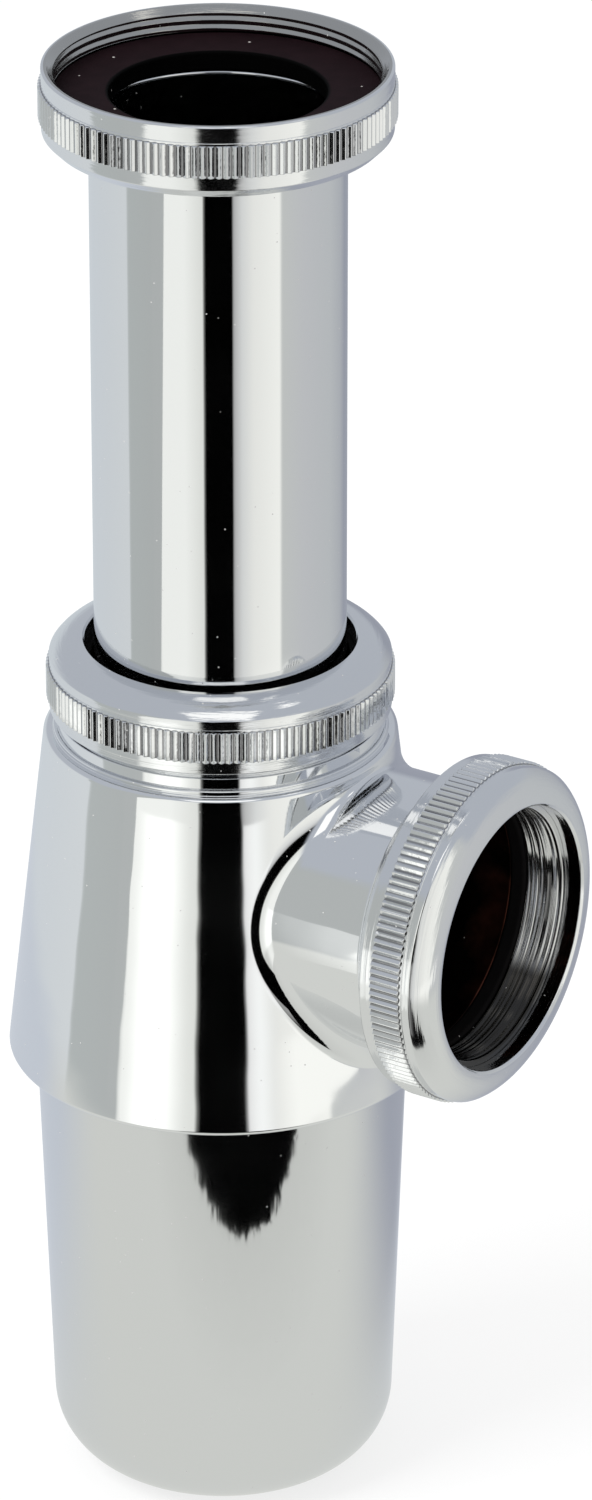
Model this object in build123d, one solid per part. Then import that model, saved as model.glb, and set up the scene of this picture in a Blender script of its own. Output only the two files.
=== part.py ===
from build123d import *
import os
from math import cos, pi, sin, tan, radians

# Chrome-plated telescopic basin bottle trap. Millimetres, +Z up, the outlet points along +X,
# and the origin is the centre of the cup's flat base, on the trap's axis.

# Pipe: the sliding inlet tube and the outlet take the same pipe
pipe_d = 32.0
tube_wall = 1.0
tube_length = 168.0
tube_exposed = 67.4        # tube seen between the neck nut and the inlet nut
flange_t = 1.5             # flange on the tube's top end, which the inlet nut pulls up
flange_round = 1.3         # inner edge of the tube's top end, where the flange is rolled out

# Clearances
slide_gap = 0.3            # radial, tube in neck, nut lip on tube, pipe in socket
grip_gap = 0.1             # radial, rubber seal on tube
seat_gap = 0.2             # radial, seal and slip ring in their counterbore
thread_gap = 0.1           # radial, between the mean cylinders of mating threads
washer_gap = 0.3           # radial, washer in the inlet nut's chamber
flange_gap = 1.35          # radial, the tube's flange passes through the inlet nut's thread

# Slip joint, the same at the neck and at the outlet
seal_section = 2.6         # radial thickness of the rubber seal
seal_length = 2.2
ring_length = 5.4          # turned slip ring between the seal and the nut's lip
ring_step = 0.3            # the ring's bore is this much wider than the seal's
neck_wall = 1.3            # wall between the counterbore and the thread
thread_depth = 1.5
neck_thread_length = 5.2
collar_length = 2.2        # plain collar behind the neck's thread
thread_run_out = 0.9       # gap between the collar and the nut

# Nuts
nut_wall = 0.8             # metal outside the thread
nut_height = 9.4
nut_lip_t = 2.5
nut_bore_gap = 1.2         # radial, slip nut's lip round the pipe
rear_band = 1.65           # plain band between a nut's rear face and its knurl
knurl_length = 4.15
knurl_rise = 0.4
knurl_root = 0.05          # the grooves' floor stands this far above the plain bands
knurl_pitch = 1.0
lip_drop = 2.2             # a slip nut's domed lip falls this far from its bore to its outside
lip_round = 0.6            # edge between that dome and the nut's side
bore_bevel = 0.3
nut_chamfer = 1.2          # rear edge of the inlet nut
inlet_lip_t = 2.0
chamber_relief = 0.5       # the inlet nut is wider than its thread round the flange and washer
chamber_gap = 0.2          # the thread begins this far above the washer
inlet_mouth_chamfer = 0.8
rim_round = 0.3

# Washer between the waste's tail and the tube's flange
washer_t = 2.5
washer_lip = 1.55          # the washer reaches this far inside the tube's bore

# Cup
cup_exposed = 59.9         # height of the skirt's lip above the base
water_gap = 6.5            # radial gap between the tube and the cup, at the cup's top
cup_wall = 1.5
cup_floor = 2.0
cup_draft = 2.0            # degrees
cup_corner = 9.5
cup_thread_rise = 0.6
cup_thread_length = 5.8
cup_thread_start = 0.8     # the thread begins this far inside the skirt
cup_seal_t = 2.0
cup_seal_inset = 0.2       # the seal stays this far inside the rim's edges

# Body: neck, conical skirt and outlet branch, cast in one piece
skirt_overhang = 3.6       # the skirt's lip stands out this far from the cup
shoulder_overhang = 0.75   # the cone's top edge stands out this far from the nuts
shoulder_round = 0.8
lip_edge_round = 0.6
lip_chamfer = 0.8          # inside the skirt's mouth
cavity_gap = 5.3           # radial gap between the tube and the body's inner wall
ceiling_t = 5.3            # metal between the cavity and the shoulder
cavity_round = 2.0
branch_reach = 34.2        # trap axis to the rear of the outlet nut
branch_wall = 1.2
branch_below_shoulder = 1.5
branch_blend = 4.2         # cast fillet between branch and cone
skirt_below = 4.2          # the cone goes on this far below the branch's blend
branch_flare = 1.7         # length over which the branch widens to its thread, behind the nut
flare_back = 0.2           # the flare ends this far behind the counterbore's floor
socket_depth = 8.0         # how far a pipe goes in past the seal
socket_stop = 2.8          # step that stops the pipe

# Radii that follow from the pipe, and the skirt round its branch
pipe_r = pipe_d / 2
neck_bore_r = pipe_r + slide_gap
seal_bore_r = pipe_r + grip_gap
seal_r = seal_bore_r + seal_section
counterbore_r = seal_r + seat_gap
thread_mean_r = counterbore_r + neck_wall
thread_major_r = thread_mean_r + thread_depth / 2
male_r = thread_mean_r - thread_gap / 2
female_r = thread_mean_r + thread_gap / 2
nut_r = thread_major_r + nut_wall
flange_r = female_r - flange_gap
chamber_r = female_r + chamber_relief
cup_r = pipe_r + water_gap + cup_wall
cup_thread_r = cup_r + cup_thread_rise
skirt_r = cup_r + skirt_overhang
shoulder_r = nut_r + shoulder_overhang
cavity_r = pipe_r + cavity_gap
branch_r = neck_bore_r + branch_wall
skirt_height = branch_below_shoulder + 2 * branch_r + branch_blend + skirt_below

# Heights that follow from the base upwards
skirt_z = cup_exposed
rim_z = skirt_z + cup_thread_start + cup_thread_length
ledge_z = rim_z + cup_seal_t
shoulder_z = skirt_z + skirt_height
neck_nut_z = shoulder_z + collar_length + thread_run_out
inlet_nut_z = neck_nut_z + nut_height + tube_exposed
flange_z = inlet_nut_z + inlet_lip_t
tube_top_z = flange_z + flange_t
outlet_z = shoulder_z - branch_r - branch_below_shoulder

# The slip joint along its own axis, from the nut's rear face outwards
lip_s = nut_height - nut_lip_t
ring_s = lip_s - ring_length
floor_s = ring_s - seal_length
thread_s = -thread_run_out
mouth_s = thread_s + neck_thread_length

knurl_count = round(2 * pi * (nut_r + knurl_rise) / knurl_pitch)


def rounded(outline, corner, radius):
    """The outline with its corner at (radius, height) rounded."""
    return fillet(outline.vertices().sort_by_distance((*corner, 0))[0], radius)


def spun(outline):
    """Revolve an outline of radius and height about Z."""
    return revolve(Plane.XZ * outline, Axis.Z)


def turned(points, rounds=()):
    """Revolve an outline of (radius, height) points about Z, after rounding the named corners."""
    outline = make_face(Polyline(*points, close=True))
    for corner, radius in rounds:
        outline = rounded(outline, corner, radius)
    return spun(outline)


def ring(inner_r, outer_r, low, high):
    """A plain ring about Z."""
    return turned([(inner_r, low), (outer_r, low), (outer_r, high), (inner_r, high)])


def disc(radius, low, high):
    """A plain cylinder about Z."""
    return Pos(0, 0, low) * Cylinder(radius, high - low, align=(Align.CENTER, Align.CENTER, Align.MIN))


def knurl(low):
    """A straight-knurled band of V grooves, rooted in a nut's plain outside."""
    crest_r = nut_r + knurl_rise
    groove_r = nut_r + knurl_root
    step = pi / knurl_count
    corners = []
    for tooth in range(knurl_count):
        for half, radius in ((0, crest_r), (1, groove_r)):
            angle = (2 * tooth + half) * step
            corners.append((radius * cos(angle), radius * sin(angle)))
    teeth = make_face(Polyline(*corners, close=True)) - Circle(nut_r - nut_wall / 2)
    return Pos(0, 0, low) * extrude(teeth, knurl_length)


def slip_nut():
    """The nut of a slip joint, standing on its rear face."""
    bore_r = pipe_r + nut_bore_gap
    crown = (bore_r + bore_bevel, nut_height)
    edge = (nut_r, nut_height - lip_drop)
    outline = make_face([
        TangentArc(crown, edge, tangent=(1, 0)),
        Polyline(edge, (nut_r, 0), (female_r, 0), (female_r, lip_s), (bore_r, lip_s),
                 (bore_r, nut_height - bore_bevel), crown),
    ])
    return spun(rounded(outline, edge, lip_round)) + knurl(rear_band)


def inlet_nut():
    """The nut that pulls the tube's flange and the washer up against the basin waste; its thread is the neck's."""
    bore_r = pipe_r + slide_gap
    mouth_r = female_r + inlet_mouth_chamfer
    chamber_top = inlet_lip_t + flange_t + washer_t + chamber_gap
    profile = [
        (bore_r, 0), (nut_r - nut_chamfer, 0), (nut_r, nut_chamfer), (nut_r, nut_height), (mouth_r, nut_height),
        (female_r, nut_height - inlet_mouth_chamfer), (female_r, chamber_top), (chamber_r, chamber_top),
        (chamber_r, inlet_lip_t), (bore_r, inlet_lip_t),
    ]
    return turned(profile, [((nut_r, nut_height), rim_round)]) + knurl(nut_chamfer + rear_band)


def slip_seal():
    """Rubber seal at the bottom of the counterbore."""
    return ring(seal_bore_r, seal_r, floor_s, ring_s)


def slip_ring():
    """Turned ring that the nut's lip pushes against the seal."""
    return ring(seal_bore_r + ring_step, seal_r, ring_s, lip_s)


def inlet_tube():
    """Flanged tube: slides in the neck, and its lower end dips into the cup's water."""
    low = tube_top_z - tube_length
    bore_r = pipe_r - tube_wall
    profile = [
        (bore_r, low), (pipe_r, low), (pipe_r, flange_z), (flange_r, flange_z), (flange_r, tube_top_z),
        (bore_r, tube_top_z),
    ]
    return turned(profile, [((bore_r, tube_top_z), flange_round)])


def inlet_washer():
    """Flat rubber washer on the tube's flange."""
    hole_r = pipe_r - tube_wall - washer_lip
    return ring(hole_r, chamber_r - washer_gap, tube_top_z, tube_top_z + washer_t)


def cup():
    """Drawn cup with a drafted wall, a rounded bottom corner and a threaded rim."""
    lean = tan(radians(cup_draft))
    foot_r = cup_r - skirt_z * lean
    inner_r = cup_r - cup_wall
    inner_foot_r = inner_r - (skirt_z - cup_floor) * lean
    thread_z = rim_z - cup_thread_length
    profile = [
        (0, 0), (foot_r, 0), (cup_r, skirt_z), (cup_r, thread_z), (cup_thread_r, thread_z), (cup_thread_r, rim_z),
        (inner_r, rim_z), (inner_r, skirt_z), (inner_foot_r, cup_floor), (0, cup_floor),
    ]
    inner_corner = cup_corner - cup_wall
    return turned(profile, [((foot_r, 0), cup_corner), ((inner_foot_r, cup_floor), inner_corner)])


def cup_seal():
    """Flat rubber ring between the cup's rim and the body's ledge."""
    return ring(cup_r - cup_wall + cup_seal_inset, cup_thread_r - cup_seal_inset, rim_z, ledge_z)


def neck_end():
    """Collar and thread of the neck, from the shoulder up."""
    return disc(thread_major_r, thread_s - collar_length, thread_s) + disc(male_r, thread_s, mouth_s)


def branch_end():
    """Threaded end of the branch, with the short flare behind the nut."""
    high = floor_s - flare_back
    low = high - branch_flare
    return turned([(0, low), (branch_r, low), (male_r, high), (male_r, mouth_s), (0, mouth_s)])


def trap_body():
    """The casting: neck, cone with its overhanging skirt, and outlet branch."""
    on_neck = Pos(0, 0, neck_nut_z)
    on_branch = Pos(branch_reach, 0, outlet_z) * Rot(0, 90, 0)
    counterbore = disc(counterbore_r, floor_s, mouth_s)

    # the cone runs on past the shoulder, so that the branch's blend is whole before the top is faced off
    taper = (skirt_r - shoulder_r) / skirt_height
    spare = 2 * branch_blend + collar_length
    cone = turned([
        (0, skirt_z), (skirt_r, skirt_z), (shoulder_r - spare * taper, shoulder_z + spare), (0, shoulder_z + spare),
    ])
    flare_x = branch_reach + floor_s - flare_back - branch_flare
    branch = Pos(0, 0, outlet_z) * Rot(0, 90, 0) * disc(branch_r, 0, flare_x)
    shell = cone + branch
    seams = shell.edges().filter_by(lambda edge: edge.geom_type not in (GeomType.LINE, GeomType.CIRCLE))
    shell = fillet(seams, branch_blend)

    # facing cut above the shoulder, with the cone's rounded top edge
    edge_r = shoulder_r + shoulder_round * taper
    face_r = shoulder_r + branch_blend + shoulder_round
    facing = make_face([
        Polyline((0, shoulder_z), (shoulder_r - shoulder_round, shoulder_z)),
        RadiusArc((shoulder_r - shoulder_round, shoulder_z), (edge_r, shoulder_z - shoulder_round), shoulder_round),
        Polyline((edge_r, shoulder_z - shoulder_round), (face_r, shoulder_z - shoulder_round),
                 (face_r, shoulder_z + 2 * spare), (0, shoulder_z + 2 * spare), (0, shoulder_z)),
    ])
    shell = shell - spun(facing)
    lip = shell.edges().filter_by(GeomType.CIRCLE).sort_by(Axis.Z)[0]
    shell = fillet(lip, lip_edge_round)

    solid = shell + on_neck * neck_end() + on_branch * branch_end()

    # inside: cup socket with its chamfered mouth, cavity, neck bore, and the outlet's stepped bore
    socket_r = cup_thread_r + thread_gap
    ceiling_z = shoulder_z - ceiling_t
    inside = turned([
        (0, skirt_z), (socket_r + lip_chamfer, skirt_z), (socket_r, skirt_z + lip_chamfer), (socket_r, ledge_z),
        (cavity_r, ledge_z), (cavity_r, ceiling_z), (0, ceiling_z),
    ], [((cavity_r, ceiling_z), cavity_round)])
    neck_hole = disc(neck_bore_r, ceiling_z - cavity_round, neck_nut_z + floor_s)
    stop_x = branch_reach + floor_s - socket_depth
    along_outlet = Pos(0, 0, outlet_z) * Rot(0, 90, 0)
    branch_hole = along_outlet * disc(neck_bore_r - socket_stop, 0, stop_x)
    branch_hole += along_outlet * disc(neck_bore_r, stop_x, branch_reach + floor_s)
    return solid - inside - neck_hole - branch_hole - on_neck * counterbore - on_branch * counterbore


at_neck = Pos(0, 0, neck_nut_z)
at_outlet = Pos(branch_reach, 0, outlet_z) * Rot(0, 90, 0)

pieces = {
    "inlet_nut": Pos(0, 0, inlet_nut_z) * inlet_nut(),
    "inlet_washer": inlet_washer(),
    "inlet_tube": inlet_tube(),
    "neck_nut": at_neck * slip_nut(),
    "neck_slip_ring": at_neck * slip_ring(),
    "neck_seal": at_neck * slip_seal(),
    "trap_body": trap_body(),
    "outlet_nut": at_outlet * slip_nut(),
    "outlet_slip_ring": at_outlet * slip_ring(),
    "outlet_seal": at_outlet * slip_seal(),
    "cup": cup(),
    "cup_seal": cup_seal(),
}

os.makedirs("parts", exist_ok=True)
for name, solid in pieces.items():
    export_step(solid, f"parts/{name}.step")
    print(name, round(solid.volume), "mm3")
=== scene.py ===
import bpy
import numpy as np
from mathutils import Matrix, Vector


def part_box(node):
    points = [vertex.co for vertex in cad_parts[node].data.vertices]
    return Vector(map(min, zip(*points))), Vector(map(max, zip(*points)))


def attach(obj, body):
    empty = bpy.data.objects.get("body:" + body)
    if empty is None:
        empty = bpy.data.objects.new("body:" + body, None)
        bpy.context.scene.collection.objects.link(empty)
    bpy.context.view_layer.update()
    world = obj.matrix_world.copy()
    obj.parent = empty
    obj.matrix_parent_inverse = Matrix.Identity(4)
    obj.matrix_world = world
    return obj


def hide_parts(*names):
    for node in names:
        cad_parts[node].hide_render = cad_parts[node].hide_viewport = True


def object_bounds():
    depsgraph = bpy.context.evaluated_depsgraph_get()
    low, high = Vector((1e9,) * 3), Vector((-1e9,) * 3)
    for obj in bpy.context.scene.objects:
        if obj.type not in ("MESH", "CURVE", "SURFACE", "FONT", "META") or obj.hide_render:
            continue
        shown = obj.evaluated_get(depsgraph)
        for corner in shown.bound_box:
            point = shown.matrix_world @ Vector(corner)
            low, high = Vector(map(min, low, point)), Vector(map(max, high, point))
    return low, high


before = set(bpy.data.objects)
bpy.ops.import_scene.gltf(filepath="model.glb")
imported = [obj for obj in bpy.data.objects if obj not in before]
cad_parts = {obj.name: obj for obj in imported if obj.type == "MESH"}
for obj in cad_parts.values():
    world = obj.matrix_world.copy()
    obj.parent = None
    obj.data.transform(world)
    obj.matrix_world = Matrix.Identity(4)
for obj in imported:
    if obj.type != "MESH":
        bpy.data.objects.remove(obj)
cadLow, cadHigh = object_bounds()
mm = 0.001
fullTurn = 2 * np.pi
outletWay, sideWay, upWay = np.eye(3)
print("frame loaded,", len(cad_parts), "nodes")


# Box of a node in millimetres, as its low and its high corner.
def nodeBox(node):
    low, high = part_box(node)
    return np.array(low) / mm, np.array(high) / mm


outletLow, outletHigh = nodeBox("outlet_nut")
outletZ = (outletLow[2] + outletHigh[2]) / 2
outletCentre = np.array([0, 0, outletZ])

# Each axis as its origin, two directions across it and the direction along it.
axes = {
    "up": (np.zeros(3), outletWay, sideWay, upWay),
    "outlet": (outletCentre, upWay, sideWay, outletWay),
}
segments = {"nut": 288, "tube": 256, "ring": 192, "body": 360}
mesher = {"leastBend": 0.02, "mergeSteps": 1000, "leastLength": 1e-6}


# Rounded outline from corners of (radius, along, fillet), walked with the metal on the left hand, so that the
# normal lies to the right. At a corner the normal turns from one side's to the next side's in equal steps, and a
# point of the arc is the arc's centre plus (outer corner) or minus (inner corner) the fillet times that normal.
def roundedOutline(corners, closed=True, steps=8):
    corners = np.array(corners, float)
    points, normals = [], []
    for index, (radius, along, fillet) in enumerate(corners):
        corner = np.array([radius, along])
        before = corners[index - 1, :2]
        after = corners[(index + 1) % len(corners), :2]
        if not closed and index == 0:
            before = 2 * corner - after
        if not closed and index == len(corners) - 1:
            after = 2 * corner - before
        wayIn = (corner - before) / np.linalg.norm(corner - before)
        wayOut = (after - corner) / np.linalg.norm(after - corner)
        bend = np.arctan2(wayIn[0] * wayOut[1] - wayIn[1] * wayOut[0], wayIn @ wayOut)
        share = np.linspace(0, 1, steps if abs(bend) > mesher["leastBend"] else 1)
        heading = np.arctan2(-wayIn[0], wayIn[1]) + bend * share
        normal = np.stack([np.cos(heading), np.sin(heading)], 1)
        side = np.sign(bend)
        start = corner - wayIn * fillet * np.tan(abs(bend) / 2)
        centre = start - side * fillet * normal[0]
        points.append(centre + side * fillet * normal if len(share) > 1 else corner[None])
        normals.append(normal)
    return np.concatenate(points), np.concatenate(normals)


# Faces of a grid of rows and columns, as four corner numbers each; a wrapped side joins its last line to its first.
def gridFaces(rows, columns, wrapRows, wrapColumns):
    row = np.arange(rows if wrapRows else rows - 1)[:, None]
    column = np.arange(columns if wrapColumns else columns - 1)[None, :]
    nextRow = (row + 1) % rows
    nextColumn = (column + 1) % columns
    return np.stack([row * columns + column, row * columns + nextColumn,
                     nextRow * columns + nextColumn, nextRow * columns + column], -1).reshape(-1, 4)


# Shell from a grid of points and, if they are known, normals. Faces are turned to look along the normals, or else
# outwards, so that the sum of corner . (corner x corner) over the faces is a positive volume.
def gridShell(points, normals, wrapRows, wrapColumns, material=0):
    rows, columns = points.shape[:2]
    faces = gridFaces(rows, columns, wrapRows, wrapColumns)
    flat = points.reshape(-1, 3)
    cross = np.cross(flat[faces[:, 2]] - flat[faces[:, 0]], flat[faces[:, 3]] - flat[faces[:, 1]])
    if normals is None:
        sense = (flat[faces].mean(1) * cross).sum()
        looks = np.zeros_like(flat)
    else:
        looks = normals.reshape(-1, 3)
        sense = (looks[faces[:, 0]] * cross).sum()
    return {"points": flat, "normals": looks, "faces": faces if sense > 0 else faces[:, ::-1], "material": material}


# Surface of revolution: point = origin + along x axis + radius x (cos angle x first + sin angle x second). A shape
# function may change the radius with the angle; such a shell's normals come from its faces.
def turnedShell(outline, turns, axis="up", closed=True, shape=None, material=0):
    points, normals = outline
    angles = np.arange(turns) * fullTurn / turns if np.isscalar(turns) else turns
    origin, first, second, along = axes[axis]
    spoke = np.cos(angles)[None, :, None] * first + np.sin(angles)[None, :, None] * second
    radius = np.repeat(points[:, :1], len(angles), 1)
    if shape is not None:
        radius = shape(radius, points[:, 1:], angles[None, :])
    place = origin + points[:, 1, None, None] * along + radius[..., None] * spoke
    looks = None if shape is not None else normals[:, :1, None] * spoke + normals[:, 1:, None] * along
    return gridShell(place, looks, closed, True, material)


def linked(name, data):
    item = bpy.data.objects.new(name, data)
    bpy.context.scene.collection.objects.link(item)
    return item


def meshObject(name, points, faces, materials):
    mesh = bpy.data.meshes.new(name)
    mesh.from_pydata(points, [], faces)
    for material in materials:
        mesh.materials.append(material)
    return linked(name, mesh)


# One object from shells. Points that agree to a thousandth of a millimetre become one, a face that so loses a
# corner becomes a triangle, and the known normals are kept as the shading normals.
def makePiece(name, shells, materials, nodes, body):
    offsets = np.cumsum([0] + [len(shell["points"]) for shell in shells[:-1]])
    points = np.concatenate([shell["points"] for shell in shells])
    normals = np.concatenate([shell["normals"] for shell in shells])
    faces = np.concatenate([shell["faces"] + offset for shell, offset in zip(shells, offsets)])
    slots = np.concatenate([np.full(len(shell["faces"]), shell["material"]) for shell in shells])
    rounded = np.round(points * mesher["mergeSteps"]).astype(int)
    _, keep, merged = np.unique(rounded, axis=0, return_index=True, return_inverse=True)
    merged = merged.reshape(-1)
    summed = np.zeros((len(keep), 3))
    np.add.at(summed, merged, normals)
    faces = merged[faces]
    twin = faces == np.roll(faces, -1, 1)
    lost = twin.sum(1)
    triangles = faces[lost == 1][~twin[lost == 1]].reshape(-1, 3)
    facesKept = faces[lost == 0].tolist() + triangles.tolist()
    slotsKept = np.concatenate([slots[lost == 0], slots[lost == 1]]).astype(np.int32)
    piece = meshObject(name, (points[keep] * mm).tolist(), facesKept, materials)
    mesh = piece.data
    mesh.polygons.foreach_set("material_index", slotsKept)
    mesh.polygons.foreach_set("use_smooth", np.ones(len(facesKept), bool))
    mesh.update()
    faceNormals = np.zeros(len(keep) * 3, np.float32)
    mesh.vertex_normals.foreach_get("vector", faceNormals)
    faceNormals = faceNormals.reshape(-1, 3)
    length = np.linalg.norm(summed, axis=1, keepdims=True)
    least = mesher["leastLength"]
    looks = np.where(length > least, summed / np.maximum(length, least), faceNormals)
    mesh.normals_split_custom_set_from_vertices(looks.tolist())
    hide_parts(*nodes)
    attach(piece, body)
    print(name, len(mesh.polygons), "faces")


# Function that adds a node to a tree with its settings and inputs, where an input is a value for the socket or a
# link from another node's socket.
def nodeAdder(tree):
    def add(kind, inputs=None, **settings):
        node = tree.nodes.new("ShaderNode" + kind)
        for key, value in settings.items():
            setattr(node, key, value)
        for key, value in (inputs or {}).items():
            if isinstance(value, bpy.types.NodeSocket):
                tree.links.new(value, node.inputs[key])
            else:
                node.inputs[key].default_value = value
        return node
    return add


def freshNodes(owner):
    owner.use_nodes = True
    owner.node_tree.nodes.clear()
    return nodeAdder(owner.node_tree)


def newMaterial(name):
    material = bpy.data.materials.new(name)
    return material, freshNodes(material)


# Sockets of single nodes. A maths node takes up to three values, and a dot product a vector and a fixed one.
def maths(add, operation, *values):
    return add("Math", dict(enumerate(values)), operation=operation).outputs[0]


def dotProduct(add, first, second):
    return add("VectorMath", {0: first, 1: tuple(second)}, operation="DOT_PRODUCT").outputs["Value"]


# Share from 0 to 1, or from one given value to another, as a value goes from the start to the end, evenly or eased.
def ramped(add, value, start, end, eased=False, low=0.0, high=1.0):
    return add("MapRange", {"Value": value, "From Min": start, "From Max": end, "To Min": low, "To Max": high},
               interpolation_type="SMOOTHSTEP" if eased else "LINEAR").outputs[0]


def opaque(colour):
    return colour if isinstance(colour, bpy.types.NodeSocket) else (*colour, 1)


def mixed(add, factor, first, second):
    return add("Mix", {"Factor": factor, 6: opaque(first), 7: opaque(second)}, data_type="RGBA").outputs[2]


def noise(add, place, scale, detail):
    return add("TexNoise", {"Vector": place, "Scale": scale, "Detail": detail}).outputs[0]


def glowing(add, colour, strength=1.0):
    return add("Emission", {"Color": opaque(colour), "Strength": strength}).outputs[0]


def mirrorPick(add, shown, mirrored):
    isMirrored = add("LightPath").outputs["Is Glossy Ray"]
    return add("MixShader", {0: isMirrored, 1: shown, 2: mirrored}).outputs[0]


# Cells of which only a share holds a speck: the distance from the cell's middle, and 1 in a chosen cell or else 0.
def speckCells(add, place, scale, share):
    cells = add("TexVoronoi", {"Vector": place, "Scale": scale})
    chance = add("SeparateColor", {"Color": cells.outputs["Color"]}).outputs[0]
    return cells.outputs["Distance"], maths(add, "LESS_THAN", chance, share)


# Distance from a piece's axis and place along it.
def axisPlace(add, place, axis):
    origin, _, _, along = axes[axis]
    fromOrigin = add("VectorMath", {0: place, 1: tuple(-origin * mm)}, operation="ADD").outputs[0]
    onAxis = dotProduct(add, fromOrigin, along)
    across = add("VectorMath", {0: fromOrigin, 1: tuple(1 - along)}, operation="MULTIPLY").outputs[0]
    return add("VectorMath", {0: across}, operation="LENGTH").outputs["Value"], onAxis


# Painted shade: colour that turns into a second one as the distance from the axis falls from the first to the second
# radius.
def shadedByRadius(add, place, axis, colour, deepColour, radii):
    radius, _ = axisPlace(add, place, axis)
    return mixed(add, ramped(add, radius, radii[0] * mm, radii[1] * mm), colour, deepColour)


plateNoise = {"waveDetail": 1.0, "patchDetail": 3.0, "patchSpan": (0.3, 0.7), "lineDetail": 4.0, "stainDetail": 4.0}
dustLook = {"scale": 600.0, "size": 0.06, "share": 0.6, "colour": (0.50, 0.50, 0.49)}


# Polished plate: a clean mirror with a broad, very low waviness and faint patches of differing polish. Turned pieces
# also have fine rings, noise of (distance from the piece's axis, place along it, a small share of the place across
# it), so that a ring changes slowly on its way round. Raw metal has stains. The outlet's ring is painted darker low
# down, a painted reflection of the dark inside, and a knurl's grooves get painted shade, darker with their depth. A
# few specks of dust lie on it.
def chromeMaterial(name, look):
    material, add = newMaterial(name)
    place = add("TexCoord").outputs["Object"]
    waves = noise(add, place, look["waveScale"], plateNoise["waveDetail"])
    patches = noise(add, place, look["patchScale"], plateNoise["patchDetail"])
    rough = ramped(add, patches, *plateNoise["patchSpan"], False, *look["rough"])
    bump = add("Bump", {"Height": waves, "Strength": 1.0, "Distance": look["waveDepth"]}).outputs[0]
    if "lineScale" in look:
        radius, onAxis = axisPlace(add, place, look["axis"])
        drift = dotProduct(add, place, look["lineDrift"] * axes[look["axis"]][2])
        rings = add("CombineXYZ", {"X": radius, "Y": onAxis, "Z": drift}).outputs[0]
        lines = noise(add, rings, look["lineScale"], plateNoise["lineDetail"])
        bump = add("Bump", {"Height": lines, "Strength": 1.0, "Distance": look["lineDepth"],
                            "Normal": bump}).outputs[0]
    colour = look["colour"]
    if "stain" in look:
        stains = noise(add, place, look["stainScale"], plateNoise["stainDetail"])
        colour = mixed(add, ramped(add, stains, *look["stainSpan"]), colour, look["stain"])
    # Painted reflection: the outlet's ring is painted darker low down, standing for the dark inside that it reflects
    # there.
    if "paintedDarkReflection" in look:
        level = add("SeparateXYZ", {"Vector": place}).outputs["Z"]
        start, end = ((outletZ + height) * mm for height in look["paintedDarkReflectionZ"])
        colour = mixed(add, ramped(add, level, start, end, True), colour, look["paintedDarkReflection"])
    # Painted shade: a knurl's grooves darken as the distance from the axis falls into them.
    if "groove" in look:
        colour = shadedByRadius(add, place, look["axis"], colour, look["groove"], look["grooveR"])
    distance, chosen = speckCells(add, place, dustLook["scale"], dustLook["share"])
    dust = maths(add, "MULTIPLY", maths(add, "LESS_THAN", distance, dustLook["size"]), chosen)
    shader = add("BsdfPrincipled", {"Base Color": mixed(add, dust, colour, dustLook["colour"]),
                                    "Metallic": maths(add, "SUBTRACT", 1.0, dust), "Roughness": rough,
                                    "Normal": bump})
    add("OutputMaterial", {"Surface": shader.outputs[0]})
    return material


rubberNoise = {"mottleScale": 500.0, "mottleDetail": 3.0, "speckCore": 0.6, "dust": (0.5, 0.48, 0.46)}


# Moulded rubber: dark, dull, with a faint mottle and a few pale specks of dust. A washer's hole is painted darker
# towards its wall: painted shade.
def rubberMaterial(name, look):
    material, add = newMaterial(name)
    place = add("TexCoord").outputs["Object"]
    mottle = noise(add, place, rubberNoise["mottleScale"], rubberNoise["mottleDetail"])
    distance, chosen = speckCells(add, place, look["speckScale"], look["speckShare"])
    speck = ramped(add, distance, look["speckSize"], look["speckSize"] * rubberNoise["speckCore"])
    dust = maths(add, "MULTIPLY", speck, chosen)
    colour = mixed(add, mottle, look["colour"], look["tint"])
    # Painted shade: the washer's hole darkens towards its wall.
    if "holeShade" in look:
        colour = shadedByRadius(add, place, "up", colour, look["holeShade"], look["holeShadeR"])
    shader = add("BsdfPrincipled", {"Base Color": mixed(add, dust, colour, rubberNoise["dust"]),
                                    "Roughness": look["rough"], "Specular IOR Level": look["shine"]})
    add("OutputMaterial", {"Surface": shader.outputs[0]})
    return material


plate = (0.80, 0.81, 0.825)
chromeLook = {"colour": plate, "rough": (0.03, 0.06), "waveScale": 90.0, "waveDepth": 0.000012, "patchScale": 60.0}
castLook = {"colour": plate, "rough": (0.03, 0.07), "waveScale": 120.0, "waveDepth": 0.00006, "patchScale": 60.0}
# The body's plate is a lighter copy of the cast plate: painted light, for the brighter reflections on the body.
bodyLitLook = dict(castLook, colour=(0.84, 0.85, 0.865))
nutLook = {"colour": plate, "rough": (0.05, 0.11), "waveScale": 150.0, "waveDepth": 0.00004, "patchScale": 300.0,
           "axis": "up", "lineScale": 1600.0, "lineDepth": 0.00006, "lineDrift": 0.12}
mouthLook = dict(nutLook, colour=(0.47, 0.465, 0.45), rough=(0.10, 0.18))
# A knurl's grooves take a painted shade colour, darker towards their floor.
knurlLook = {"colour": plate, "rough": (0.07, 0.15), "waveScale": 1800.0, "waveDepth": 0.000015, "patchScale": 900.0,
             "axis": "up", "groove": (0.30, 0.30, 0.31), "grooveR": (21.88, 21.80)}
# The turned ring is painted darker low down: a painted reflection of the dark inside.
turnedLook = {"colour": (0.72, 0.72, 0.72), "rough": (0.10, 0.16), "waveScale": 60.0, "waveDepth": 0.00001,
              "patchScale": 100.0, "axis": "outlet", "lineScale": 2500.0, "lineDepth": 0.00003, "lineDrift": 0.02,
              "paintedDarkReflection": (0.05, 0.048, 0.046), "paintedDarkReflectionZ": (-8.0, -11.5)}
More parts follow.
